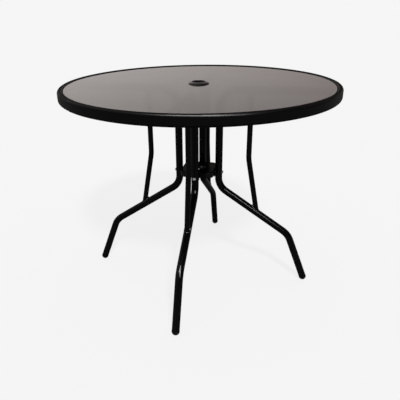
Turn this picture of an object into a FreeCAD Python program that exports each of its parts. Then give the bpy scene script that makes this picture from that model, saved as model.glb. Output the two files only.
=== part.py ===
import FreeCAD, Part
import Sketcher
import math
import os
import re

# Round glass patio table, 900 mm across, with an umbrella hole.
# The glass lies in a tubular steel hoop.  Four bent tube legs bolt to saddles under
# the hoop and to a square pressed plate lower down, and each leg carries a thin
# welded brace.  The umbrella pole drops through the ring in the glass and through
# the plate.  +Z is up, the origin is on the floor at the middle of the table, and
# the legs lie along +X, +Y, -X and -Y.

V = FreeCAD.Vector
doc = FreeCAD.newDocument("umbrella_table")

# ---------------------------------------------------------------- driving sizes
SIZES = (
    # table top
    ("table_diameter", 900.0),      # over the hoop
    ("table_height", 711.0),        # floor to the top of the hoop
    ("rim_width", 17.0),            # hoop section, across
    ("rim_depth", 34.0),            # hoop section, top to bottom
    ("rim_corner", 8.0),            # corner radius of the section
    ("rim_wall", 1.2),              # sheet of the hoop
    ("ledge_width", 14.0),          # flat of the angle ring, under the glass
    ("ledge_drop", 13.0),           # upright of the angle ring, on the hoop's wall
    ("ledge_sheet", 2.4),
    ("ledge_bend", 3.2),            # outer corner radius of the angle
    ("glass_recess", 3.0),          # glass lies this far below the hoop's top
    ("glass_thickness", 5.0),
    ("glass_play", 1.0),            # gap all round between glass and hoop
    ("glass_edge", 1.6),            # rounded edge of the glass
    ("cushion_diameter", 10.0),     # soft pads between glass and angle ring
    ("cushion_thickness", 1.0),
    # umbrella ring
    ("ring_bore", 43.0),
    ("ring_wall", 3.0),
    ("ring_flange", 68.0),
    ("ring_height", 6.5),           # crown of the flange, above the glass
    ("ring_edge", 2.5),             # upright outer edge of the flange
    ("ring_round", 1.2),            # its rounded top
    ("ring_lip", 4.5),              # crown, outside the bore
    ("ring_crown", 6.0),            # crown's outer radius
    ("ring_lead", 2.5),             # inner edge of the flange
    ("ring_neck", 16.0),            # neck, below the top of the glass
    ("ring_play", 1.0),             # gap between neck and glass
    ("snap_reach", 1.6),            # snap bead under the glass
    ("snap_height", 3.0),
    # leg tube
    ("tube_diameter", 25.0),
    ("tube_wall", 1.5),
    ("hip_bend", 60.0),             # bend radii, at the centre line
    ("knee_bend", 75.0),
    ("stem_radius", 70.5),          # upright run, from the table's axis
    ("hip_drop", 359.0),            # lower end of the upright run, below the top
    ("knee_radius", 325.0),
    ("knee_drop", 529.0),
    ("foot_radius", 391.0),         # middle of the foot, from the table's axis
    # foot cap
    ("cap_diameter", 25.8),
    ("cap_gate", 0.05),             # flat of the moulding gate, under the dome
    ("cap_collar", 2.0),            # straight part above the dome
    ("cap_plug", 16.0),             # part of the cap inside the tube
    ("cap_bore", 15.0),             # hollow of the plug
    # brace tube
    ("brace_diameter", 18.0),
    ("brace_wall", 1.2),
    ("brace_radius", 173.0),        # upright part of the brace, from the axis
    ("brace_kink_drop", 251.0),     # below the top
    ("brace_bend", 140.0),
    ("brace_foot", 209.0),          # where it meets the leg, from the axis
    # saddle under the hoop
    ("saddle_sheet", 2.0),
    ("saddle_length", 34.0),
    ("saddle_depth", 21.0),
    ("saddle_bend", 3.0),           # outer radius of its two bends
    ("saddle_round", 6.0),          # free corners of the cheeks
    ("saddle_bolt_inset", 19.0),    # bolt, from the tube's end
    # lower plate
    ("plate_width", 115.4),
    ("plate_sheet", 2.0),
    ("plate_drop", 291.5),          # top of the plate, below the table top
    ("plate_skirt", 19.5),          # turned-down edge
    ("plate_corner", 22.0),
    ("plate_bend", 3.0),            # outer radius of the pressed edge
    ("plate_hole", 45.0),
    ("plate_collar", 7.0),          # drawn collar round the hole
    ("collar_bend", 3.4),
    ("bead_radius", 38.0),          # stiffening bead round the hole
    ("bead_crest", 3.0),            # flat top of the bead
    ("bead_slope", 3.0),
    ("bead_rise", 2.0),
    ("bead_round", 1.4),
    ("ear_width", 24.0),            # ear that a leg bolts to
    ("ear_depth", 31.0),
    ("ear_corner", 6.0),
    ("ear_bolt_drop", 14.5),         # bolt, below the top of the plate
    # fasteners
    ("bolt_diameter", 6.0),
    ("bolt_head", 10.5),            # M6 button head
    ("bolt_head_height", 3.3),
    ("bolt_head_round", 2.4),
    ("bolt_socket", 4.0),           # hexagon socket, across flats
    ("bolt_socket_depth", 2.2),
    ("bolt_end", 2.0),              # thread past the nut
    ("bolt_point", 0.8),            # chamfer of the thread's end
    ("nut_width", 10.0),            # across flats
    ("nut_height", 5.0),
    ("nut_chamfer", 0.5),
    ("hole_play", 0.6),             # bolt holes are this much wider than the bolt
    ("thread_play", 0.2),           # so is the bore of a nut
    ("fit_gap", 0.3),               # between pieces that are welded or seated
)
ALIASES = [alias for alias, value in SIZES]
sheet = doc.addObject("Spreadsheet::Sheet", "sizes")
for row, (alias, value) in enumerate(SIZES, start=1):
    sheet.set("A%d" % row, alias)
    sheet.set("B%d" % row, str(value))
    sheet.setAlias("B%d" % row, alias)
doc.recompute()

# Levels and radii that follow from the sizes, as expressions on the sheet.
TOP = "table_height"
GLASS = "(table_height - glass_recess)"
GLASS_FLOOR = "(%s - glass_thickness)" % GLASS
LEDGE = "(%s - cushion_thickness)" % GLASS_FLOOR
ARM = "(%s - ledge_sheet - fit_gap - tube_diameter / 2)" % LEDGE
RIM_INSIDE = "(table_diameter / 2 - rim_width)"
LEDGE_OUT = "(%s - fit_gap)" % RIM_INSIDE
LEDGE_WALL = "(%s - ledge_sheet)" % LEDGE_OUT
CHEEK = "(tube_diameter / 2 + fit_gap + saddle_sheet)"
SADDLE_BACK = "(%s - 2 * fit_gap)" % LEDGE_WALL
ARM_END = "(%s - saddle_sheet - 2 * fit_gap)" % SADDLE_BACK
SADDLE_BOLT = "(%s - saddle_bolt_inset)" % ARM_END
HIP = "(table_height - hip_drop)"
KNEE = "(table_height - knee_drop)"
FOOT = "(cap_diameter / 2)"
PLATE = "(table_height - plate_drop)"
PLATE_SIDE = "(plate_width / 2)"
PLATE_BOLT = "(%s - ear_bolt_drop)" % PLATE
NECK = "(ring_bore / 2 + ring_wall)"

LEGS = (("right", 0), ("back", 90), ("left", 180), ("front", 270))
CUSHIONS = 8
NEAR = 0.01


# ------------------------------------------------------------- how pieces are made
def on_sheet(text):
    """The expression with each alias written as a cell of the sheet."""
    return re.sub(r"[a-z_]+", lambda m: "sizes." + m.group(0) if m.group(0) in ALIASES else m.group(0), text)


def number(text):
    """The present value of an expression on the sheet."""
    value = sheet.evalExpression(on_sheet(text))
    return float(getattr(value, "Value", value))


def new_body(label):
    body = doc.addObject("PartDesign::Body", label)
    body.Label = label
    return body


def new_sketch(body, name, role, shift=None):
    """A sketch on one of the body's own origin planes, moved along the plane's axes."""
    plane = [item for item in body.Origin.OriginFeatures if item.Role == role][0]
    sketch = body.newObject("Sketcher::SketchObject", name)
    sketch.AttachmentSupport = (plane, [""])
    sketch.MapMode = "FlatFace"
    for axis, distance in (shift or {}).items():
        sketch.setExpression("AttachmentOffset.Base." + axis, on_sheet(distance))
    return sketch


def dimension(sketch, kind, where, size):
    """A constraint whose size follows an expression on the sheet."""
    index = sketch.addConstraint(Sketcher.Constraint(kind, *where, number(size)))
    sketch.setExpression("Constraints[%d]" % index, on_sheet(size))


def relation(sketch, kind, *where):
    sketch.addConstraint(Sketcher.Constraint(kind, *where))


def pin(sketch, item, end, x=None, y=None):
    """Hold a point's x, its y or both, counted from the sketch's origin."""
    for kind, ordinate, zero_axis in (("DistanceX", x, -2), ("DistanceY", y, -1)):
        if ordinate is None:
            continue
        value = number(ordinate)
        if abs(value) < 1e-9:
            relation(sketch, "PointOnObject", item, end, zero_axis)
        elif value > 0:
            dimension(sketch, kind, (-1, 1, item, end), ordinate)
        else:
            dimension(sketch, kind, (item, end, -1, 1), "-(%s)" % ordinate)


def outline(sketch, corners, closed=True):
    """Straight lines through the corners (x, y, bend radius or None)."""
    count = len(corners)
    spots = [V(number(x), number(y), 0) for x, y, bend in corners]
    bends = [None if bend is None else number(bend) for x, y, bend in corners]

    def way(i, step):
        return (spots[(i + step) % count] - spots[i]).normalize()

    def trimmed(i, step):
        """Where the line from corner i towards its neighbour starts."""
        if bends[i] is None:
            return spots[i]
        half = way(i, -1).getAngle(way(i, 1)) / 2
        return spots[i] + way(i, step) * (bends[i] / math.tan(half))

    lines = []
    kinds = []
    for i in range(count if closed else count - 1):
        j = (i + 1) % count
        line = sketch.addGeometry(Part.LineSegment(trimmed(i, 1), trimmed(j, -1)), False)
        run = way(i, 1)
        kind = None
        if abs(run.y) < 1e-9:
            kind = "Horizontal"
        elif abs(run.x) < 1e-9:
            kind = "Vertical"
        if kind:
            relation(sketch, kind, line)
        goes_straight_on = bool(kinds) and kinds[-1] == kind
        if kind == "Horizontal" and not goes_straight_on:
            pin(sketch, line, 1, y=corners[i][1])
        elif kind == "Vertical" and not goes_straight_on:
            pin(sketch, line, 1, x=corners[i][0])
        lines.append(line)
        kinds.append(kind)
    for i, (x, y, bend) in enumerate(corners):
        before = lines[i - 1] if closed or i > 0 else None
        after = lines[i] if i < len(lines) else None
        known = [kinds[k] for k, line in ((i - 1, before), (i, after)) if line is not None]
        free_x = None if "Vertical" in known else x
        free_y = None if "Horizontal" in known else y
        if bend is None:
            if before is not None and after is not None:
                relation(sketch, "Coincident", before, 2, after, 1)
            if after is not None:
                pin(sketch, after, 1, free_x, free_y)
            else:
                pin(sketch, before, 2, free_x, free_y)
            continue
        start = trimmed(i, -1)
        end = trimmed(i, 1)
        half = way(i, -1).getAngle(way(i, 1)) / 2
        bisector = (way(i, -1) + way(i, 1)).normalize()
        middle = spots[i] + bisector * (bends[i] / math.sin(half) - bends[i])
        arc = sketch.addGeometry(Part.Arc(start, middle, end), False)
        first = 1 if sketch.getPoint(arc, 1).distanceToPoint(start) < 1e-6 else 2
        if free_x or free_y:
            corner = sketch.addGeometry(Part.Point(spots[i]), True)
            pin(sketch, corner, 1, free_x, free_y)
            relation(sketch, "PointOnObject", corner, 1, before)
            relation(sketch, "PointOnObject", corner, 1, after)
        relation(sketch, "Tangent", before, 2, arc, first)
        relation(sketch, "Tangent", arc, 3 - first, after, 1)
        dimension(sketch, "Radius", (arc,), bend)
    return sketch


def circle(sketch, x, y, radius):
    ring = sketch.addGeometry(Part.Circle(V(number(x), number(y), 0), V(0, 0, 1), number(radius)), False)
    pin(sketch, ring, 3, x, y)
    dimension(sketch, "Radius", (ring,), radius)
    return sketch


def hexagon(sketch, width):
    """A hexagon round the sketch's origin, from its width across flats."""
    wide = "(%s / sqrt(3))" % width
    half = "(%s / 2)" % width
    slant = "(%s / sqrt(12))" % width
    corners = ((wide, "0"), (slant, half), ("-" + slant, half),
               ("-" + wide, "0"), ("-" + slant, "-" + half), (slant, "-" + half))
    return outline(sketch, [(x, y, None) for x, y in corners])


def revolved(body, sketch, axis):
    """A full turn of the sketch about its own V_Axis or H_Axis."""
    turn = body.newObject("PartDesign::Revolution", "turn")
    turn.Profile = sketch
    turn.ReferenceAxis = (sketch, [axis])
    turn.Angle = 360.0
    return turn


def padded(body, sketch, length):
    block = body.newObject("PartDesign::Pad", "pad")
    block.Profile = sketch
    block.setExpression("Length", on_sheet(length))
    return block


def pocketed(body, sketch, length, both_ways=False):
    cut = body.newObject("PartDesign::Pocket", "pocket")
    cut.Profile = sketch
    cut.Midplane = both_ways
    cut.setExpression("Length", on_sheet(length))
    return cut


def piped(body, section, path):
    """A section carried along every edge of a path."""
    doc.recompute()
    pipe = body.newObject("PartDesign::AdditivePipe", "pipe")
    pipe.Profile = section
    pipe.Spine = (path, ["Edge%d" % (i + 1) for i in range(len(path.Shape.Edges))])
    return pipe


def around(body, feature, count):
    """The feature repeated round the table's axis."""
    upright = [item for item in body.Origin.OriginFeatures if item.Role == "Z_Axis"][0]
    polar = body.newObject("PartDesign::PolarPattern", "polar")
    polar.Originals = [feature]
    polar.Axis = (upright, [""])
    polar.Angle = 360.0
    polar.Occurrences = count
    body.Tip = polar
    return polar


def dressed(body, kind, base, size_name, size, wanted):
    """A Fillet or Chamfer on the edges of the base that pass a test."""
    doc.recompute()
    names = ["Edge%d" % (i + 1) for i, edge in enumerate(base.Shape.Edges) if wanted(edge)]
    dress = body.newObject("PartDesign::" + kind, kind.lower())
    dress.Base = (base, names)
    dress.setExpression(size_name, on_sheet(size))
    return dress


def turned(angle):
    """Placement that carries a piece made on the +X side to another leg."""
    return FreeCAD.Placement(V(0, 0, 0), FreeCAD.Rotation(V(0, 0, 1), angle))


# --------------------------------------------------------------------- table top
# Outer hoop: a flat-oval tube, rolled and welded to a ring.
table_rim = new_body("table_rim")
section = new_sketch(table_rim, "rim_section", "XZ_Plane")
for inset in ("0", "rim_wall"):
    left = "(%s + %s)" % (RIM_INSIDE, inset)
    right = "(table_diameter / 2 - %s)" % inset
    low = "(%s - rim_depth + %s)" % (TOP, inset)
    high = "(%s - %s)" % (TOP, inset)
    bend = "(rim_corner - %s)" % inset
    outline(section, [(left, low, bend), (right, low, bend), (right, high, bend), (left, high, bend)])
revolved(table_rim, section, "V_Axis")

# Angle ring: its upright is welded to the hoop's inner wall, its flat carries the glass.
glass_ledge = new_body("glass_ledge")
section = new_sketch(glass_ledge, "ledge_section", "XZ_Plane")
flat_end = "(%s - ledge_width)" % LEDGE_OUT
drop_end = "(%s - ledge_drop)" % LEDGE
outline(section, [
    (flat_end, LEDGE, None),
    (LEDGE_OUT, LEDGE, "ledge_bend"),
    (LEDGE_OUT, drop_end, None),
    (LEDGE_WALL, drop_end, None),
    (LEDGE_WALL, "(%s - ledge_sheet)" % LEDGE, "(ledge_bend - ledge_sheet)"),
    (flat_end, "(%s - ledge_sheet)" % LEDGE, None)])
revolved(glass_ledge, section, "V_Axis")

# Glass: one toughened disc with a hole for the umbrella ring, all edges rounded.  A
# split line round the ring's flange keeps the flange's seat apart from the open top.
glass_top = new_body("glass_top")
section = new_sketch(glass_top, "glass_section", "XZ_Plane")
hole_edge = "(%s + ring_play)" % NECK
disc_edge = "(%s - glass_play)" % RIM_INSIDE
split_line = "(ring_flange / 2 + fit_gap)"
outline(section, [
    (hole_edge, GLASS_FLOOR, "glass_edge"),
    (disc_edge, GLASS_FLOOR, "glass_edge"),
    (disc_edge, GLASS, "glass_edge"),
    (split_line, GLASS, None),
    (hole_edge, GLASS, "glass_edge")])
revolved(glass_top, section, "V_Axis").Refine = False

# Soft pads between the glass and the angle ring.
cushions = []
for k in range(CUSHIONS):
    disc = doc.addObject("Part::Cylinder", "glass_pad")
    disc.setExpression("Radius", on_sheet("cushion_diameter / 2"))
    disc.setExpression("Height", on_sheet("cushion_thickness"))
    seat = "(%s - ledge_width / 2)" % LEDGE_OUT
    spoke = FreeCAD.Placement(V(number(seat), 0, number(LEDGE)), FreeCAD.Rotation())
    disc.Placement = turned((k + 0.5) * 360 / CUSHIONS).multiply(spoke)
    cushions.append(disc)
glass_pads = doc.addObject("Part::Compound", "glass_pads")
glass_pads.Links = cushions

# Umbrella ring: a domed flange on the glass, a neck through it and a snap bead below it.
umbrella_ring = new_body("umbrella_ring")
section = new_sketch(umbrella_ring, "ring_section", "XZ_Plane")
bore = "(ring_bore / 2)"
neck_end = "(%s - ring_neck)" % GLASS
snap = "(%s - fit_gap)" % GLASS_FLOOR
outline(section, [
    (bore, neck_end, None),
    (NECK, neck_end, None),
    (NECK, "(%s - snap_height)" % snap, None),
    ("(%s + snap_reach)" % NECK, snap, None),
    (NECK, snap, None),
    (NECK, GLASS, None),
    ("(ring_flange / 2)", GLASS, None),
    ("(ring_flange / 2)", "(%s + ring_edge)" % GLASS, "ring_round"),
    ("(ring_bore / 2 + ring_lip)", "(%s + ring_height)" % GLASS, "ring_crown"),
    (bore, "(%s + ring_height)" % GLASS, "ring_lead")])
revolved(umbrella_ring, section, "V_Axis")


# --------------------------------------------------------------- legs and braces
# Leg: one tube with three bends, drilled for the saddle bolt and the plate bolt.
# Its centre line is arm, upright run, slanted run and foot run.
lean = "atan((foot_radius - knee_radius) / (%s - %s))" % (KNEE, FOOT)
cap_room = "(cap_collar + fit_gap)"
foot_end = ("(foot_radius - %s * sin(%s))" % (cap_room, lean),
            "(%s + %s * cos(%s))" % (FOOT, cap_room, lean), None)
for side, angle in LEGS:
    leg = new_body("leg_" + side)
    path = new_sketch(leg, "leg_path", "XZ_Plane")
    outline(path, [
        (ARM_END, ARM, None),
        ("stem_radius", ARM, "hip_bend"),
        ("stem_radius", HIP, "hip_bend"),
        ("knee_radius", KNEE, "knee_bend"),
        foot_end], closed=False)
    tube = new_sketch(leg, "leg_section", "YZ_Plane", {"z": ARM_END})
    for radius in ("(tube_diameter / 2)", "(tube_diameter / 2 - tube_wall)"):
        circle(tube, "0", ARM, radius)
    piped(leg, tube, path)
    drill = new_sketch(leg, "saddle_hole", "XZ_Plane")
    circle(drill, SADDLE_BOLT, ARM, "(bolt_diameter + hole_play) / 2")
    pocketed(leg, drill, "2 * tube_diameter", both_ways=True)
    drill = new_sketch(leg, "plate_hole", "YZ_Plane", {"z": "stem_radius"})
    circle(drill, "0", PLATE_BOLT, "(bolt_diameter + hole_play) / 2")
    pocketed(leg, drill, "2 * tube_diameter", both_ways=True)
    leg.Placement = turned(angle)

# Brace: a thinner tube from the arm down to the slanted run.  Both its ends are
# coped to the leg tube, along the arm and along the slanted run.
slope = "((knee_drop - hip_drop) / (knee_radius - stem_radius))"
brace_end = "(%s - (brace_foot - stem_radius) * %s)" % (HIP, slope)
cope = "(tube_diameter / 2 + fit_gap)"
for side, angle in LEGS:
    brace = new_body("brace_" + side)
    path = new_sketch(brace, "brace_path", "XZ_Plane")
    outline(path, [
        ("brace_radius", ARM, None),
        ("brace_radius", "(table_height - brace_kink_drop)", "brace_bend"),
        ("brace_foot", brace_end, None)], closed=False)
    tube = new_sketch(brace, "brace_section", "XY_Plane", {"z": ARM})
    for radius in ("(brace_diameter / 2)", "(brace_diameter / 2 - brace_wall)"):
        circle(tube, "brace_radius", "0", radius)
    piped(brace, tube, path)
    upper = new_sketch(brace, "upper_cope", "YZ_Plane", {"z": "brace_radius"})
    circle(upper, "0", ARM, cope)
    pocketed(brace, upper, "2 * tube_diameter", both_ways=True)
    lower = new_sketch(brace, "lower_cope", "YZ_Plane", {"y": brace_end, "z": "brace_foot"})
    lower.AttachmentOffset = FreeCAD.Placement(lower.AttachmentOffset.Base, FreeCAD.Rotation(V(1, 0, 0), 0))
    lower.setExpression("AttachmentOffset.Rotation.Angle", on_sheet("atan(%s)" % slope))
    circle(lower, "0", "0", cope)
    pocketed(brace, lower, "3 * tube_diameter", both_ways=True)
    brace.Placement = turned(angle)

# Foot cap: a dome below a short collar, with a hollow plug pressed into the tube.
for side, angle in LEGS:
    cap = new_body("foot_cap_" + side)
    section = new_sketch(cap, "cap_section", "XZ_Plane")
    plug = "(tube_diameter / 2 - tube_wall - fit_gap)"
    dome = "(cap_diameter / 2)"
    outline(section, [
        ("0", "-" + dome, None),
        (dome, "-" + dome, "(cap_diameter / 2 - cap_gate)"),
        (dome, "cap_collar", None),
        (plug, "cap_collar", None),
        (plug, "(cap_collar + cap_plug)", None),
        ("(cap_bore / 2)", "(cap_collar + cap_plug)", None),
        ("(cap_bore / 2)", "cap_collar", None),
        ("0", "cap_collar", None)])
    revolved(cap, section, "V_Axis")
    tilt = FreeCAD.Rotation(V(0, 1, 0), -number(lean))
    stand = FreeCAD.Placement(V(number("foot_radius"), 0, number(FOOT)), tilt)
    cap.Placement = turned(angle).multiply(stand)

# --------------------------------------------------------------- saddles and plate
# Saddle: a bent strip welded inside the angle ring; the leg's end lies in it.
saddle_floor = "(%s - ledge_sheet - fit_gap - saddle_depth)" % LEDGE
saddle_mouth = "(%s - saddle_length)" % SADDLE_BACK
cheek_inside = "(%s - saddle_sheet)" % CHEEK
back_inside = "(%s - saddle_sheet)" % SADDLE_BACK
inner_bend = "(saddle_bend - saddle_sheet)"
mouth_level = number(saddle_mouth) + NEAR
for side, angle in LEGS:
    saddle = new_body("rim_saddle_" + side)
    strip = new_sketch(saddle, "saddle_strip", "XY_Plane", {"z": saddle_floor})
    outline(strip, [
        (saddle_mouth, "-" + CHEEK, None),
        (SADDLE_BACK, "-" + CHEEK, "saddle_bend"),
        (SADDLE_BACK, CHEEK, "saddle_bend"),
        (saddle_mouth, CHEEK, None),
        (saddle_mouth, cheek_inside, None),
        (back_inside, cheek_inside, inner_bend),
        (back_inside, "-" + cheek_inside, inner_bend),
        (saddle_mouth, "-" + cheek_inside, None)])
    block = padded(saddle, strip, "saddle_depth")
    dressed(saddle, "Fillet", block, "Radius", "saddle_round",
            lambda edge: edge.BoundBox.XMax < mouth_level and edge.BoundBox.ZLength < NEAR)
    drill = new_sketch(saddle, "saddle_hole", "XZ_Plane")
    circle(drill, SADDLE_BOLT, ARM, "(bolt_diameter + hole_play) / 2")
    pocketed(saddle, drill, "2 * tube_diameter", both_ways=True)
    saddle.Placement = turned(angle)

# Lower plate: a square pressing with a turned-down skirt, an ear for each leg, a
# raised bead and a drawn collar round the hole for the umbrella pole.
centre_plate = new_body("centre_plate")


def rounded_square(sketch, half, corner):
    corners = ((half, half), ("-" + half, half), ("-" + half, "-" + half), (half, "-" + half))
    return outline(sketch, [(x, y, corner) for x, y in corners])


blank = new_sketch(centre_plate, "plate_blank", "XY_Plane", {"z": "(%s - plate_skirt)" % PLATE})
rounded_square(blank, PLATE_SIDE, "plate_corner")
block = padded(centre_plate, blank, "plate_skirt")
plate_level = number(PLATE) - NEAR
dressed(centre_plate, "Fillet", block, "Radius", "plate_bend", lambda edge: edge.BoundBox.ZMin > plate_level)
hollow = new_sketch(centre_plate, "plate_hollow", "XY_Plane", {"z": "(%s - plate_sheet)" % PLATE})
rounded_square(hollow, "(%s - plate_sheet)" % PLATE_SIDE, "(plate_corner - plate_sheet)")
pocketed(centre_plate, hollow, "plate_skirt")
ear = new_sketch(centre_plate, "ear", "YZ_Plane", {"z": "(%s - plate_sheet)" % PLATE_SIDE})
ear_top = "(%s - plate_bend)" % PLATE
ear_end = "(%s - ear_depth)" % PLATE
outline(ear, [
    ("-(ear_width / 2)", ear_top, None),
    ("-(ear_width / 2)", ear_end, "ear_corner"),
    ("(ear_width / 2)", ear_end, "ear_corner"),
    ("(ear_width / 2)", ear_top, None)])
around(centre_plate, padded(centre_plate, ear, "plate_sheet"), len(LEGS))
drill = new_sketch(centre_plate, "ear_hole", "YZ_Plane", {"z": PLATE_SIDE})
circle(drill, "0", PLATE_BOLT, "(bolt_diameter + hole_play) / 2")
around(centre_plate, pocketed(centre_plate, drill, "4 * plate_sheet", both_ways=True), len(LEGS))
bead_foot = "(bead_radius + bead_crest / 2 + bead_slope)"
bead_start = "(bead_radius - bead_crest / 2 - bead_slope)"
press_edge = "(%s + bead_rise)" % bead_foot
window = new_sketch(centre_plate, "press_window", "XY_Plane", {"z": PLATE})
circle(window, "0", "0", press_edge)
pocketed(centre_plate, window, "2 * plate_sheet")
press = new_sketch(centre_plate, "press_section", "XZ_Plane")
under = "(%s - plate_sheet)" % PLATE
crest = "(%s + bead_rise)" % PLATE
shift = "(plate_sheet * tan(atan(bead_rise / bead_slope) / 2))"
collar_end = "(%s - plate_collar)" % PLATE
collar_out = "(plate_hole / 2 + plate_sheet)"
outline(press, [
    (press_edge, PLATE, None),
    (bead_foot, PLATE, "bead_round"),
    ("(bead_radius + bead_crest / 2)", crest, "bead_round"),
    ("(bead_radius - bead_crest / 2)", crest, "bead_round"),
    (bead_start, PLATE, "bead_round"),
    ("(plate_hole / 2)", PLATE, "collar_bend"),
    ("(plate_hole / 2)", collar_end, None),
    (collar_out, collar_end, None),
    (collar_out, under, "(collar_bend - plate_sheet)"),
    ("(%s + %s)" % (bead_start, shift), under, None),
    ("(bead_radius - bead_crest / 2 + %s)" % shift, PLATE, None),
    ("(bead_radius + bead_crest / 2 - %s)" % shift, PLATE, None),
    ("(%s - %s)" % (bead_foot, shift), under, None),
    (press_edge, under, None)])
revolved(centre_plate, press, "V_Axis")


# --------------------------------------------------------------------- fasteners
def bolt(name, length):
    """Button-head bolt with a hexagon socket, its head above z = 0."""
    body = new_body(name)
    section = new_sketch(body, "bolt_section", "XZ_Plane")
    shank = "(bolt_diameter / 2)"
    outline(section, [
        ("0", "-" + length, None),
        ("(%s - bolt_point)" % shank, "-" + length, None),
        (shank, "(bolt_point - %s)" % length, None),
        (shank, "0", None),
        ("(bolt_head / 2)", "0", None),
        ("(bolt_head / 2)", "bolt_head_height", "bolt_head_round"),
        ("0", "bolt_head_height", None)])
    revolved(body, section, "V_Axis")
    socket = new_sketch(body, "bolt_socket", "XY_Plane", {"z": "bolt_head_height"})
    hexagon(socket, "bolt_socket")
    pocketed(body, socket, "bolt_socket_depth")
    return body


def nut(name):
    """Hexagon nut on z = 0, its corners cut by a cone at both ends."""
    body = new_body(name)
    section = new_sketch(body, "nut_section", "XY_Plane")
    hexagon(section, "nut_width")
    circle(section, "0", "0", "(bolt_diameter + thread_play) / 2")
    padded(body, section, "nut_height")
    corner = "(nut_width / sqrt(3) + thread_play)"
    for face, inner in (("nut_height", "(nut_height - nut_chamfer)"), ("0", "nut_chamfer")):
        cone = new_sketch(body, "nut_cone", "XZ_Plane")
        outline(cone, [("(nut_width / 2)", face, None), (corner, face, None), (corner, inner, None)])
        groove = body.newObject("PartDesign::Groove", "groove")
        groove.Profile = cone
        groove.ReferenceAxis = (cone, ["V_Axis"])
        groove.Angle = 360.0
    return body


def group(label, make, spot, axis):
    """The same fastener at every leg, as one group of separate solids."""
    centre = V(*[number(ordinate) for ordinate in spot])
    where = FreeCAD.Placement(centre, FreeCAD.Rotation(V(0, 0, 1), axis))
    pieces = []
    for side, angle in LEGS:
        piece = make("%s_%s" % (label, side))
        piece.Placement = turned(angle).multiply(where)
        pieces.append(piece)
    whole = doc.addObject("Part::Compound", label)
    whole.Links = pieces
    return whole


# Bolt through the leg's upright run into the ear, and the nut behind the ear.
plate_seat = "(stem_radius + tube_diameter / 2 + fit_gap)"
plate_nut = "(%s - plate_sheet - fit_gap - nut_height)" % PLATE_SIDE
plate_length = "(%s - %s + bolt_end)" % (plate_seat, plate_nut)
group("plate_bolts", lambda name: bolt(name, plate_length), (plate_seat, "0", PLATE_BOLT), V(1, 0, 0))
group("plate_nuts", nut, (plate_nut, "0", PLATE_BOLT), V(1, 0, 0))

# Bolt across the saddle and the leg's end, and its nut.
saddle_seat = "(%s + fit_gap)" % CHEEK
saddle_nut = "(%s + nut_height)" % saddle_seat
saddle_length = "(%s + %s + bolt_end)" % (saddle_seat, saddle_nut)
group("saddle_bolts", lambda name: bolt(name, saddle_length), (SADDLE_BOLT, saddle_seat, ARM), V(0, 1, 0))
group("saddle_nuts", nut, (SADDLE_BOLT, "-" + saddle_nut, ARM), V(0, 1, 0))


# ------------------------------------------------------------------------ output
SINGLE = ["table_rim", "glass_ledge", "glass_top", "umbrella_ring", "centre_plate"]
SINGLE += [kind + "_" + side for kind in ("leg", "brace", "foot_cap", "rim_saddle") for side, angle in LEGS]
NODES = {label: 1 for label in SINGLE}
NODES["glass_pads"] = CUSHIONS
for label in ("plate_bolts", "plate_nuts", "saddle_bolts", "saddle_nuts"):
    NODES[label] = len(LEGS)

doc.recompute()
for item in doc.Objects:
    if "Invalid" in item.State or "Error" in item.State:
        raise RuntimeError("%s did not build: %s" % (item.Label, item.State))
for label, solids in NODES.items():
    shape = doc.getObject(label).Shape
    if shape.isNull() or not shape.isValid() or len(shape.Solids) != solids:
        raise RuntimeError("%s has a bad shape with %d solids" % (label, len(shape.Solids)))

os.makedirs("parts", exist_ok=True)
for label in NODES:
    doc.getObject(label).Shape.exportStep("parts/%s.step" % label)
print("wrote %d nodes" % len(NODES))
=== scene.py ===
import math

import bmesh
import bpy
from mathutils import Matrix, Vector


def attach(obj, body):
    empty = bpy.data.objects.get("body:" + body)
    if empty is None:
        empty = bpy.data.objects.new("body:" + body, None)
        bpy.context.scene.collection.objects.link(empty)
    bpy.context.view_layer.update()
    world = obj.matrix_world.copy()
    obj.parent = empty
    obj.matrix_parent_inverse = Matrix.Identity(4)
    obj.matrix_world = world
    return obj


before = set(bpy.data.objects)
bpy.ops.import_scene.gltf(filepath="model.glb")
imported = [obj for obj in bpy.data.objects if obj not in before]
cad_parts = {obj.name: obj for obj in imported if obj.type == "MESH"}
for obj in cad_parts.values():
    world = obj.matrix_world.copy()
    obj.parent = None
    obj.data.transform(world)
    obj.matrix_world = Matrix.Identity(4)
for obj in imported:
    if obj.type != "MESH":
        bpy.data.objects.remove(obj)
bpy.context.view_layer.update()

# ---------------------------------------------------------------- outer hoop
# A flat-oval steel tube, roll-bent to a ring and butt-welded, then powder coated
# gloss black.  The coat has a fine orange peel and gathers a little dust on top,
# where sleeves and cloths have rubbed the gloss down.
ENAMEL_BLACK = (0.0006, 0.0006, 0.0007, 1.0)
ENAMEL_DRIFTED = (0.0018, 0.0018, 0.002, 1.0)
SETTLED_DUST = (0.30, 0.29, 0.27, 1.0)
PEEL_LUMP = 0.0016
DUST_PATCH = 0.012
DRIFT_PATCH = 0.09
SKIN_DEPTH = 0.0001
SIDE_GLOSS = 0.08
TOP_GLOSS = 0.22

# How far a face turns up, from -1 for straight down to 1 for straight up.
DUST_CATCHING = (0.55, 1.0)
TOPMOST = (0.86, 0.97)
SIDE_TO_TOP = (0.3, 0.6)
DOWN_TO_SIDE = (-0.5, -0.1)

# The stretches of a noise that make patches, soft clouds and an even spread.
PATCHES = (0.45, 0.75)
CLOUDS = (0.3, 0.7)
SPREAD = (0.25, 0.75)


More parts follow.
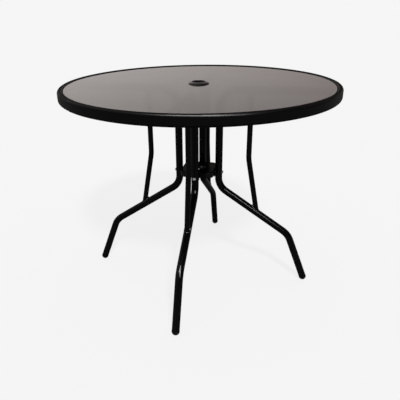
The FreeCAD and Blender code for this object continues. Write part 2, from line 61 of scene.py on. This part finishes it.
def new_group(name, inputs, outputs):
    """An empty node group with named sockets, and its two end nodes."""
    group = bpy.data.node_groups.new(name, "ShaderNodeTree")
    for label, kind, value in inputs:
        socket = group.interface.new_socket(label, in_out="INPUT", socket_type=kind)
        socket.default_value = value
    for label, kind in outputs:
        group.interface.new_socket(label, in_out="OUTPUT", socket_type=kind)
    start = group.nodes.new("NodeGroupInput")
    end = group.nodes.new("NodeGroupOutput")
    return group, start, end


def link(tree, source, target):
    tree.links.new(source, target)


def noise(tree, place, size, detail, rough=0.5):
    """Noise whose lumps are about size metres across."""
    node = tree.nodes.new("ShaderNodeTexNoise")
    node.inputs["Scale"].default_value = 1.0 / size
    node.inputs["Detail"].default_value = detail
    node.inputs["Roughness"].default_value = rough
    link(tree, place, node.inputs["Vector"])
    return node.outputs["Fac"]


def stretch(tree, value, given, wanted=(0.0, 1.0)):
    """The given range of a value laid out over the wanted range."""
    node = tree.nodes.new("ShaderNodeMapRange")
    for label, number in zip(("From Min", "From Max", "To Min", "To Max"), given + wanted):
        if isinstance(number, float):
            node.inputs[label].default_value = number
        else:
            link(tree, number, node.inputs[label])
    link(tree, value, node.inputs["Value"])
    return node.outputs["Result"]


def combine(tree, operation, first, second):
    """Two values put together: MULTIPLY, ADD, SUBTRACT or MAXIMUM."""
    node = tree.nodes.new("ShaderNodeMath")
    node.operation = operation
    for socket, value in zip(node.inputs, (first, second)):
        if isinstance(value, float):
            socket.default_value = value
        else:
            link(tree, value, socket)
    return node.outputs["Value"]


def tint(tree, share, first, second):
    """First colour to second colour by share."""
    node = tree.nodes.new("ShaderNodeMix")
    node.data_type = "RGBA"
    link(tree, share, node.inputs["Factor"])
    for socket, value in ((node.inputs[6], first), (node.inputs[7], second)):
        if isinstance(value, tuple):
            socket.default_value = value
        else:
            link(tree, value, socket)
    return node.outputs[2]


# Baked powder coat: peel of the skin, slow drift of tone, dust on what faces up, less
# gloss on what faces down, where less powder settles, and a top rubbed dull if asked.
coat, coat_in, coat_out = new_group(
    "powder_coat_skin",
    [("Colour", "NodeSocketColor", ENAMEL_BLACK), ("Dust", "NodeSocketFloat", 0.02),
     ("Side Coat", "NodeSocketFloat", SIDE_GLOSS), ("Top Coat", "NodeSocketFloat", TOP_GLOSS),
     ("Rubbed Top", "NodeSocketFloat", 0.0)],
    [("Colour", "NodeSocketColor"), ("Roughness", "NodeSocketFloat"), ("Coat", "NodeSocketFloat"),
     ("Height", "NodeSocketFloat")])
place = coat.nodes.new("ShaderNodeTexCoord").outputs["Object"]
facing = coat.nodes.new("ShaderNodeSeparateXYZ")
link(coat, coat.nodes.new("ShaderNodeNewGeometry").outputs["Normal"], facing.inputs["Vector"])
upward = facing.outputs["Z"]
settled = combine(coat, "MULTIPLY", stretch(coat, upward, DUST_CATCHING),
                  stretch(coat, noise(coat, place, DUST_PATCH, detail=4), PATCHES))
dusty = combine(coat, "MULTIPLY", settled, coat_in.outputs["Dust"])
drift = noise(coat, place, DRIFT_PATCH, detail=2)
deeper = tint(coat, stretch(coat, drift, CLOUDS, (0.0, 0.35)), coat_in.outputs["Colour"], ENAMEL_DRIFTED)
link(coat, tint(coat, dusty, deeper, SETTLED_DUST), coat_out.inputs["Colour"])
skin = stretch(coat, drift, SPREAD, (0.34, 0.44))
link(coat, combine(coat, "ADD", skin, dusty), coat_out.inputs["Roughness"])
rubbed = combine(coat, "MULTIPLY", stretch(coat, upward, TOPMOST), coat_in.outputs["Rubbed Top"])
thin_below = stretch(coat, upward, DOWN_TO_SIDE, (0.6, 0.0))
kept = combine(coat, "SUBTRACT", 1.0, combine(coat, "ADD", rubbed, thin_below))
film = stretch(coat, upward, SIDE_TO_TOP, (coat_in.outputs["Side Coat"], coat_in.outputs["Top Coat"]))
film = combine(coat, "MULTIPLY", film, stretch(coat, drift, SPREAD, (1.08, 0.92)))
link(coat, combine(coat, "MULTIPLY", film, kept), coat_out.inputs["Coat"])
link(coat, noise(coat, place, PEEL_LUMP, detail=1.5), coat_out.inputs["Height"])


def finish_of(name, group, settings, shader_values, bump, depth=SKIN_DEPTH):
    """A material: one effect group, a bump and a Principled shader with plain values."""
    material = bpy.data.materials.new(name)
    material.use_nodes = True
    tree = material.node_tree
    shader = tree.nodes["Principled BSDF"]
    effect = tree.nodes.new("ShaderNodeGroup")
    effect.node_tree = group
    for label, value in settings.items():
        effect.inputs[label].default_value = value
    link(tree, effect.outputs["Colour"], shader.inputs["Base Color"])
    link(tree, effect.outputs["Roughness"], shader.inputs["Roughness"])
    if "Coat" in effect.outputs:
        link(tree, effect.outputs["Coat"], shader.inputs["Coat Weight"])
    relief = tree.nodes.new("ShaderNodeBump")
    relief.inputs["Strength"].default_value = bump
    relief.inputs["Distance"].default_value = depth
    link(tree, effect.outputs["Height"], relief.inputs["Height"])
    link(tree, relief.outputs["Normal"], shader.inputs["Normal"])
    for label, value in shader_values.items():
        shader.inputs[label].default_value = value
    return material


def wear(node, material):
    """The CAD node takes this material alone."""
    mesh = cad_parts[node].data
    mesh.materials.clear()
    mesh.materials.append(material)


hoop_enamel = finish_of(
    "hoop_enamel", coat,
    {"Colour": ENAMEL_BLACK, "Dust": 0.006, "Side Coat": SIDE_GLOSS, "Top Coat": TOP_GLOSS,
     "Rubbed Top": 0.75},
    {"Specular IOR Level": 0.0, "Coat Roughness": 0.3}, bump=0.02)
wear("table_rim", hoop_enamel)

# ------------------------------------------------------------ angle ring
# A rolled steel angle inside the hoop, stitch-welded to its inner wall and coated
# with it.  The glass lies on its flat, so only its underside shows.
ledge_enamel = finish_of(
    "ledge_enamel", coat, {"Colour": ENAMEL_BLACK, "Dust": 0.03, "Side Coat": 0.1, "Top Coat": 0.2},
    {"Specular IOR Level": 0.0, "Coat Roughness": 0.34}, bump=0.15)
wear("glass_ledge", ledge_enamel)

# ------------------------------------------------------------ saddles
# Four bent steel strips welded inside the angle ring, where the legs are bolted.
# They are coated with the hoop, a little thinner in the inner corners.
SIDES = ("right", "back", "left", "front")
saddle_enamel = finish_of(
    "saddle_enamel", coat, {"Colour": ENAMEL_BLACK, "Dust": 0.03, "Side Coat": 0.1, "Top Coat": 0.2},
    {"Specular IOR Level": 0.0, "Coat Roughness": 0.36}, bump=0.2)
for side in SIDES:
    wear("rim_saddle_" + side, saddle_enamel)

# ------------------------------------------------------------ glass
# One disc of toughened smoked glass, 5 mm thick, with a drilled hole for the ring
# and rounded, polished edges.  Toughening leaves a faint roller wave in its faces,
# and hands and weather leave a thin patchy film on them.
SMOKE = (0.03, 0.027, 0.0255, 1.0)
FILM_GREY = (0.09, 0.085, 0.08, 1.0)
FILM_PATCH = 0.05
FILM_SHOWING = (0.4, 0.8)
POLISH = 0.03
ROLLER_WAVES = {"Scale": 0.35, "Distortion": 1.5, "Detail": 1.0}
ROLLER_DEPTH = 0.0002
sheet, sheet_in, sheet_out = new_group(
    "toughened_sheet",
    [("Colour", "NodeSocketColor", SMOKE), ("Film", "NodeSocketFloat", 0.02)],
    [("Colour", "NodeSocketColor"), ("Roughness", "NodeSocketFloat"), ("Height", "NodeSocketFloat")])
place = sheet.nodes.new("ShaderNodeTexCoord").outputs["Object"]
film = stretch(sheet, noise(sheet, place, FILM_PATCH, detail=5, rough=0.6), FILM_SHOWING)
film = combine(sheet, "MULTIPLY", film, sheet_in.outputs["Film"])
link(sheet, tint(sheet, film, sheet_in.outputs["Colour"], FILM_GREY), sheet_out.inputs["Colour"])
link(sheet, combine(sheet, "ADD", film, POLISH), sheet_out.inputs["Roughness"])
wave = sheet.nodes.new("ShaderNodeTexWave")
wave.bands_direction = "X"
for label, value in ROLLER_WAVES.items():
    wave.inputs[label].default_value = value
link(sheet, place, wave.inputs["Vector"])
link(sheet, wave.outputs["Fac"], sheet_out.inputs["Height"])
smoked_glass = finish_of(
    "smoked_glass", sheet, {"Colour": SMOKE, "Film": 0.05}, {"Transmission Weight": 1.0, "IOR": 1.5},
    bump=0.05, depth=ROLLER_DEPTH)
wear("glass_top", smoked_glass)

# ------------------------------------------------------------ glass pads
# Eight soft PVC discs that keep the glass off the angle ring.  They are punched
# from self-adhesive sheet, matt black with a fine grit.
VINYL_BLACK = (0.018, 0.018, 0.018, 1.0)
VINYL_GREY = (0.05, 0.05, 0.048, 1.0)
VINYL_GRIT = 0.0012
pad_effect, pad_in, pad_out = new_group(
    "soft_vinyl",
    [("Colour", "NodeSocketColor", VINYL_BLACK)],
    [("Colour", "NodeSocketColor"), ("Roughness", "NodeSocketFloat"), ("Height", "NodeSocketFloat")])
place = pad_effect.nodes.new("ShaderNodeTexCoord").outputs["Object"]
grit = noise(pad_effect, place, VINYL_GRIT, detail=4)
greyer = stretch(pad_effect, grit, (0.4, 0.7), (0.0, 0.4))
link(pad_effect, tint(pad_effect, greyer, pad_in.outputs["Colour"], VINYL_GREY), pad_out.inputs["Colour"])
link(pad_effect, stretch(pad_effect, grit, CLOUDS, (0.65, 0.85)), pad_out.inputs["Roughness"])
link(pad_effect, grit, pad_out.inputs["Height"])
vinyl = finish_of("pad_vinyl", pad_effect, {"Colour": VINYL_BLACK}, {}, bump=0.3)
wear("glass_pads", vinyl)

# ------------------------------------------------------------ umbrella ring
# An injection-moulded ring in black plastic, dropped through the hole in the glass
# and held by a snap bead.  Its flange has the fine spark grain of the mould.
RING_BLACK = (0.002, 0.002, 0.002, 1.0)
SCUFF_GREY = (0.12, 0.12, 0.118, 1.0)
SPARK_GRAIN = 0.0006
SCRAPE_PATCH = 0.006
SCRAPES = (0.55, 0.75)
mould, mould_in, mould_out = new_group(
    "moulded_plastic",
    [("Colour", "NodeSocketColor", RING_BLACK), ("Scuff", "NodeSocketFloat", 0.1),
     ("Coat", "NodeSocketFloat", 0.08)],
    [("Colour", "NodeSocketColor"), ("Roughness", "NodeSocketFloat"), ("Coat", "NodeSocketFloat"),
     ("Height", "NodeSocketFloat")])
place = mould.nodes.new("ShaderNodeTexCoord").outputs["Object"]
grain = noise(mould, place, SPARK_GRAIN, detail=2)
scrape = stretch(mould, noise(mould, place, SCRAPE_PATCH, detail=6, rough=0.7), SCRAPES)
scrape = combine(mould, "MULTIPLY", scrape, mould_in.outputs["Scuff"])
link(mould, tint(mould, scrape, mould_in.outputs["Colour"], SCUFF_GREY), mould_out.inputs["Colour"])
satin = stretch(mould, grain, CLOUDS, (0.4, 0.5))
link(mould, combine(mould, "ADD", satin, scrape), mould_out.inputs["Roughness"])
speckle = combine(mould, "MULTIPLY", stretch(mould, grain, CLOUDS, (0.9, 1.1)), mould_in.outputs["Coat"])
link(mould, speckle, mould_out.inputs["Coat"])
link(mould, grain, mould_out.inputs["Height"])
ring_plastic = finish_of(
    "ring_plastic", mould, {"Colour": RING_BLACK, "Scuff": 0.02, "Coat": 1.0},
    {"Specular IOR Level": 0.0, "Coat Roughness": 0.22}, bump=0.03)
wear("umbrella_ring", ring_plastic)

# ------------------------------------------------------------ legs
# Bent from 25 mm steel tube, three bends each: arm, upright run, slanted run and
# foot.  Powder coated gloss black, with the smoothest coat of all the pieces.
leg_enamel = finish_of(
    "leg_enamel", coat,
    {"Colour": ENAMEL_BLACK, "Dust": 0.005, "Side Coat": SIDE_GLOSS, "Top Coat": TOP_GLOSS},
    {"Specular IOR Level": 0.0, "Coat Roughness": 0.16}, bump=0.03)
for side in SIDES:
    wear("leg_" + side, leg_enamel)

# ------------------------------------------------------------ braces
# 18 mm steel tube with one slight bend, coped at both ends to fit the leg's round,
# MIG welded to the leg and coated with it.
brace_enamel = finish_of(
    "brace_enamel", coat,
    {"Colour": ENAMEL_BLACK, "Dust": 0.005, "Side Coat": SIDE_GLOSS, "Top Coat": TOP_GLOSS},
    {"Specular IOR Level": 0.0, "Coat Roughness": 0.18}, bump=0.03)
for side in SIDES:
    wear("brace_" + side, brace_enamel)

# ------------------------------------------------------------ weld beads
# The fillet welds between each brace and its leg: a bead 2.6 to 5.6 mm thick laid all
# the way round the coped end, fullest in the sharp corner, rippled by the torch and
# coated over with the tubes.
BEAD_STEPS = 96
BEAD_CORNERS = 10
RIPPLE_SHARE = 0.12
RIPPLE_STEPS = 6.0
# The bead is thicker by the fill and further out from both tubes in the sharp corner,
# and the lean moves some of it there from the open side.
BEAD_RADIUS = 0.0016
BEAD_FILL = 0.0018
BEAD_LEAN = 0.0006
BEAD_GAP = 0.0005
BEAD_PUSHED_OUT = 0.0016
LEG_RADIUS = 0.0125
BRACE_RADIUS = 0.0090
FULL_TURN = 2.0 * math.pi

# Each joint as it lies on the right leg: where the two tubes' axes meet, the way the
# brace leaves the leg, and the way the leg runs there.
BRACE_JOINTS = (
    ("upper", Vector((0.173, 0.0, 0.6868)), Vector((0.0, 0.0, -1.0)), Vector((1.0, 0.0, 0.0))),
    ("lower", Vector((0.209, 0.0, 0.2595)), Vector((-0.1767, 0.0, 0.9843)), Vector((0.8316, 0.0, -0.5555))))
bead_enamel = finish_of(
    "bead_enamel", coat, {"Colour": ENAMEL_BLACK, "Dust": 0.01, "Side Coat": 0.5, "Top Coat": 0.7},
    {"Specular IOR Level": 0.0, "Coat Roughness": 0.3}, bump=0.2)
welds = []


def bead_path(joint, away, run):
    """Points round the joint's seam, the way the bead faces there, and its thickness."""
    across = Vector((0.0, 1.0, 0.0))
    along = across.cross(away)
    spread = 1.0 - away.dot(run) ** 2
    middle = []
    outward = []
    thickness = []
    for step in range(BEAD_STEPS):
        angle = FULL_TURN * step / BEAD_STEPS
        spoke = along * math.cos(angle) + across * math.sin(angle)
        tilt = spoke.dot(run) * away.dot(run)
        sharp = max(tilt, 0.0)
        gap = BEAD_GAP + BEAD_PUSHED_OUT * sharp
        spoke = spoke * (BRACE_RADIUS + gap)
        lean = -spoke.dot(run) * away.dot(run)
        short = spoke.length_squared - spoke.dot(run) ** 2 - (LEG_RADIUS + gap) ** 2
        rise = (math.sqrt(lean ** 2 - spread * short) - lean) / spread
        point = spoke + away * rise
        from_leg = (point - run * point.dot(run)).normalized()
        ripple = 1.0 + RIPPLE_SHARE * math.cos(FULL_TURN * step / RIPPLE_STEPS)
        middle.append(joint + point)
        outward.append((spoke.normalized() + from_leg).normalized())
        thickness.append((BEAD_RADIUS + BEAD_LEAN * tilt + BEAD_FILL * sharp) * ripple)
    return middle, outward, thickness


def weld_bead(name, joint, away, run, quarter):
    """A closed bead round one end of the brace, turned by quarters to its own leg."""
    middle, outward, thickness = bead_path(joint, away, run)
    mesh = bmesh.new()
    rings = []
    for step in range(BEAD_STEPS):
        forward = (middle[(step + 1) % BEAD_STEPS] - middle[step - 1]).normalized()
        normal = (outward[step] - forward * outward[step].dot(forward)).normalized()
        beside = forward.cross(normal)
        ring = []
        for corner in range(BEAD_CORNERS):
            angle = FULL_TURN * corner / BEAD_CORNERS
            out = normal * math.cos(angle) + beside * math.sin(angle)
            ring.append(mesh.verts.new(middle[step] + out * thickness[step]))
        rings.append(ring)
    for step in range(BEAD_STEPS):
        last = rings[step - 1]
        ring = rings[step]
        for corner in range(BEAD_CORNERS):
            after = (corner + 1) % BEAD_CORNERS
            mesh.faces.new((last[corner], last[after], ring[after], ring[corner]))
    turn = Matrix.Rotation(quarter * math.pi / 2, 3, "Z")
    bmesh.ops.rotate(mesh, verts=mesh.verts, cent=(0.0, 0.0, 0.0), matrix=turn)
    bmesh.ops.recalc_face_normals(mesh, faces=mesh.faces)
    data = bpy.data.meshes.new(name)
    mesh.to_mesh(data)
    mesh.free()
    for face in data.polygons:
        face.use_smooth = True
    data.materials.append(bead_enamel)
    piece = bpy.data.objects.new(name, data)
    bpy.context.scene.collection.objects.link(piece)
    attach(piece, "root")
    welds.append(piece)


for quarter, side in enumerate(SIDES):
    for end, joint, away, run in BRACE_JOINTS:
        weld_bead("brace_weld_" + end + "_" + side, joint, away, run, quarter)

# ------------------------------------------------------------ foot caps
# Push-in caps moulded like the umbrella ring, in a satin black.  They are domed
# below and scuffed where they stand.
CAP_BLACK = (0.003, 0.003, 0.003, 1.0)
cap_plastic = finish_of(
    "cap_plastic", mould, {"Colour": CAP_BLACK, "Scuff": 0.08, "Coat": 0.08},
    {"Specular IOR Level": 0.0, "Coat Roughness": 0.35}, bump=0.3)
for side in SIDES:
    wear("foot_cap_" + side, cap_plastic)

# ------------------------------------------------------------ lower plate
# Pressed from 2 mm sheet: skirt, ears, a raised bead and a drawn collar in one
# piece, coated black with a slightly flatter gloss than the tubes.
plate_enamel = finish_of(
    "plate_enamel", coat, {"Colour": ENAMEL_BLACK, "Dust": 0.008, "Side Coat": 0.12, "Top Coat": 0.1},
    {"Specular IOR Level": 0.0, "Coat Roughness": 0.22}, bump=0.18)
wear("centre_plate", plate_enamel)

# ------------------------------------------------------------ bolts and nuts
# Zinc-plated button-head bolts and hexagon nuts, fitted after the steel was coated.
# The bolts' plating is bright. The nuts' zinc is darker as painted shade, for the shade they sit in, and both
# carry a patchy grey bloom.
BRIGHT_ZINC = (0.45, 0.45, 0.44, 1.0)
# Darker zinc for the nuts: painted shade, standing in for the shade they sit in.
NUT_ZINC_PAINTED_SHADE = (0.10, 0.10, 0.095, 1.0)
BLOOM_GREY = (0.30, 0.30, 0.29, 1.0)
BLOOM_PATCH = 0.002
zinc, zinc_in, zinc_out = new_group(
    "zinc_plating",
    [("Colour", "NodeSocketColor", BRIGHT_ZINC)],
    [("Colour", "NodeSocketColor"), ("Roughness", "NodeSocketFloat"), ("Height", "NodeSocketFloat")])
place = zinc.nodes.new("ShaderNodeTexCoord").outputs["Object"]
bloom = noise(zinc, place, BLOOM_PATCH, detail=4, rough=0.6)
bloomed = stretch(zinc, bloom, (0.4, 0.7), (0.0, 0.5))
link(zinc, tint(zinc, bloomed, zinc_in.outputs["Colour"], BLOOM_GREY), zinc_out.inputs["Colour"])
link(zinc, stretch(zinc, bloom, CLOUDS, (0.4, 0.55)), zinc_out.inputs["Roughness"])
link(zinc, bloom, zinc_out.inputs["Height"])
plated = finish_of("bright_zinc", zinc, {"Colour": BRIGHT_ZINC}, {"Metallic": 1.0}, bump=0.1)
# The nuts take the darker zinc, which is painted shade.
nut_zinc_shaded = finish_of("nut_zinc_painted_shade", zinc, {"Colour": NUT_ZINC_PAINTED_SHADE}, {"Metallic": 1.0}, bump=0.1)
for kind in ("plate", "saddle"):
    wear(kind + "_bolts", plated)
    wear(kind + "_nuts", nut_zinc_shaded)

# ------------------------------------------------------------ floor
# A pale seamless paper floor.  It glows where it is looked at, mirrored or seen through
# the glass, and is grey to every lamp, so that it keeps the table's shadow.
FLOOR_HALF = 40.0
PAPER_GREY = (0.14, 0.14, 0.14, 1.0)
PAPER_GLOW = 0.80


def looked_at(tree):
    """1 for camera, mirror and glass rays, and the ray node itself."""
    path = tree.nodes.new("ShaderNodeLightPath")
    seen = combine(tree, "MAXIMUM", path.outputs["Is Camera Ray"], path.outputs["Is Glossy Ray"])
    return combine(tree, "MAXIMUM", seen, path.outputs["Is Transmission Ray"]), path


floor_mesh = bmesh.new()
bmesh.ops.create_grid(floor_mesh, x_segments=1, y_segments=1, size=FLOOR_HALF)
floor_data = bpy.data.meshes.new("studio_floor")
floor_mesh.to_mesh(floor_data)
floor_mesh.free()
floor = bpy.data.objects.new("studio_floor", floor_data)
bpy.context.scene.collection.objects.link(floor)
paper = bpy.data.materials.new("floor_paper")
paper.use_nodes = True
tree = paper.node_tree
tree.nodes.clear()
matt = tree.nodes.new("ShaderNodeBsdfDiffuse")
matt.inputs["Color"].default_value = PAPER_GREY
glow = tree.nodes.new("ShaderNodeEmission")
glow.inputs["Color"].default_value = (1.0, 1.0, 1.0, 1.0)
seen, path = looked_at(tree)
link(tree, combine(tree, "MULTIPLY", seen, PAPER_GLOW), glow.inputs["Strength"])
both = tree.nodes.new("ShaderNodeAddShader")
link(tree, matt.outputs["BSDF"], both.inputs[0])
link(tree, glow.outputs["Emission"], both.inputs[1])
link(tree, both.outputs["Shader"], tree.nodes.new("ShaderNodeOutputMaterial").inputs["Surface"])
floor_data.materials.append(paper)

# ------------------------------------------------------------ room
# A plain pale room, white where it is looked at.  Gloss and the face of the glass
# mirror its warm grey walls, darker on the right, above a low white skirting.
PALE_AIR = (0.92, 0.92, 0.92, 1.0)
LEFT_WALL = (0.84, 0.79, 0.76, 1.0)
RIGHT_WALL = (0.285, 0.218, 0.212, 1.0)
LEFT_TO_RIGHT = (-0.5, 0.5)
SKIRTING_TO_WALL = (0.02, 0.11)
AIR_LIGHT = (0.55, 1.0)
room = bpy.data.worlds.new("pale_room")
bpy.context.scene.world = room
room.use_nodes = True
tree = room.node_tree
tree.nodes.clear()
way = tree.nodes.new("ShaderNodeSeparateXYZ")
link(tree, tree.nodes.new("ShaderNodeTexCoord").outputs["Generated"], way.inputs["Vector"])
wall = tint(tree, stretch(tree, way.outputs["X"], LEFT_TO_RIGHT), LEFT_WALL, RIGHT_WALL)
wall = tint(tree, stretch(tree, way.outputs["Z"], SKIRTING_TO_WALL), PALE_AIR, wall)
seen, path = looked_at(tree)
plain = combine(tree, "SUBTRACT", 1.0, path.outputs["Is Glossy Ray"])
air = tree.nodes.new("ShaderNodeBackground")
link(tree, tint(tree, plain, wall, PALE_AIR), air.inputs["Color"])
link(tree, stretch(tree, seen, (0.0, 1.0), AIR_LIGHT), air.inputs["Strength"])
link(tree, air.outputs["Background"], tree.nodes.new("ShaderNodeOutputWorld").inputs["Surface"])

# ------------------------------------------------------------ lamps
# One even key lamp, high in front on the right, and four strips beside it that only
# the gloss of the coated pieces and foot caps shows.  On glass, zinc and the umbrella
# ring the strips would burn out, and the key lamp is in no mirror image at all.
TABLE_MIDDLE = Vector((0.0, 0.0, 0.5))
LAMP_DISTANCE = 3.4
KEY_AZIMUTH = -66.0
KEY_ELEVATION = 46.0
KEY_LIGHT = 1.5
KEY_WIDTH = math.radians(7.0)
STRIPS = (
    {"name": "front_strip", "azimuth": -67.0, "elevation": 46.0, "width": 0.6, "height": 2.4, "watts": 260.0},
    {"name": "wide_strip", "azimuth": -88.0, "elevation": 47.0, "width": 2.2, "height": 0.6, "watts": 150.0},
    {"name": "right_strip", "azimuth": -52.0, "elevation": 27.0, "width": 0.3, "height": 1.3, "watts": 85.0},
    {"name": "left_strip", "azimuth": -96.0, "elevation": 57.0, "width": 0.5, "height": 1.4, "watts": 85.0})


def aimed(name, kind, azimuth, elevation):
    """A lamp turned towards the middle of the table."""
    lamp = bpy.data.lights.new(name, kind)
    holder = bpy.data.objects.new(name, lamp)
    bpy.context.scene.collection.objects.link(holder)
    round_about = math.radians(azimuth)
    up = math.radians(elevation)
    level = math.cos(up)
    toward = Vector((math.cos(round_about) * level, math.sin(round_about) * level, math.sin(up)))
    holder.location = TABLE_MIDDLE + toward * LAMP_DISTANCE
    holder.rotation_mode = "QUATERNION"
    holder.rotation_quaternion = toward.to_track_quat("Z", "Y")
    return lamp, holder


black_pieces = bpy.data.collections.new("black_pieces")
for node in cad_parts.values():
    if node.data.materials[0] not in (smoked_glass, ring_plastic, plated, nut_zinc_shaded):
        black_pieces.objects.link(node)
for piece in welds:
    black_pieces.objects.link(piece)
key, key_holder = aimed("key_lamp", "SUN", KEY_AZIMUTH, KEY_ELEVATION)
key.energy = KEY_LIGHT
key.angle = KEY_WIDTH
key_holder.visible_glossy = False
for made in STRIPS:
    strip, strip_holder = aimed(made["name"], "AREA", made["azimuth"], made["elevation"])
    strip.shape = "RECTANGLE"
    strip.size = made["width"]
    strip.size_y = made["height"]
    strip.energy = made["watts"]
    strip_holder.visible_diffuse = False
    strip_holder.light_linking.receiver_collection = black_pieces

# ------------------------------------------------------------ viewpoint
# A viewer standing 1.5 m before the table's middle, on the front leg's side and a
# little to its right, with the eye 95 cm above the floor, who looks down on the table.
EYE = (0.2819, -1.4530, 0.9520)
STANDS_ROUND = math.radians(10.98)
LOOKS_PAST = 0.0342
TILT = 0.4257
ROLL = -0.0170
SHIFT_ACROSS = 0.0368
SHIFT_UP = 0.0064
SENSOR_WIDTH = 36.0
PICTURE_PIXELS = 400.0
FOCAL_PIXELS = 443.44
lens = bpy.data.cameras.new("viewer")
lens.sensor_width = SENSOR_WIDTH
lens.lens = FOCAL_PIXELS * SENSOR_WIDTH / PICTURE_PIXELS
lens.shift_x = SHIFT_ACROSS
lens.shift_y = SHIFT_UP
viewer = bpy.data.objects.new("viewer", lens)
bpy.context.scene.collection.objects.link(viewer)
aim = Matrix.Rotation(STANDS_ROUND + LOOKS_PAST, 4, "Z")
aim = aim @ Matrix.Rotation(math.pi / 2 - TILT, 4, "X")
aim = aim @ Matrix.Rotation(ROLL, 4, "Z")
viewer.matrix_world = Matrix.Translation(EYE) @ aim
bpy.context.scene.camera = viewer
bpy.context.scene.view_settings.view_transform = "Standard"
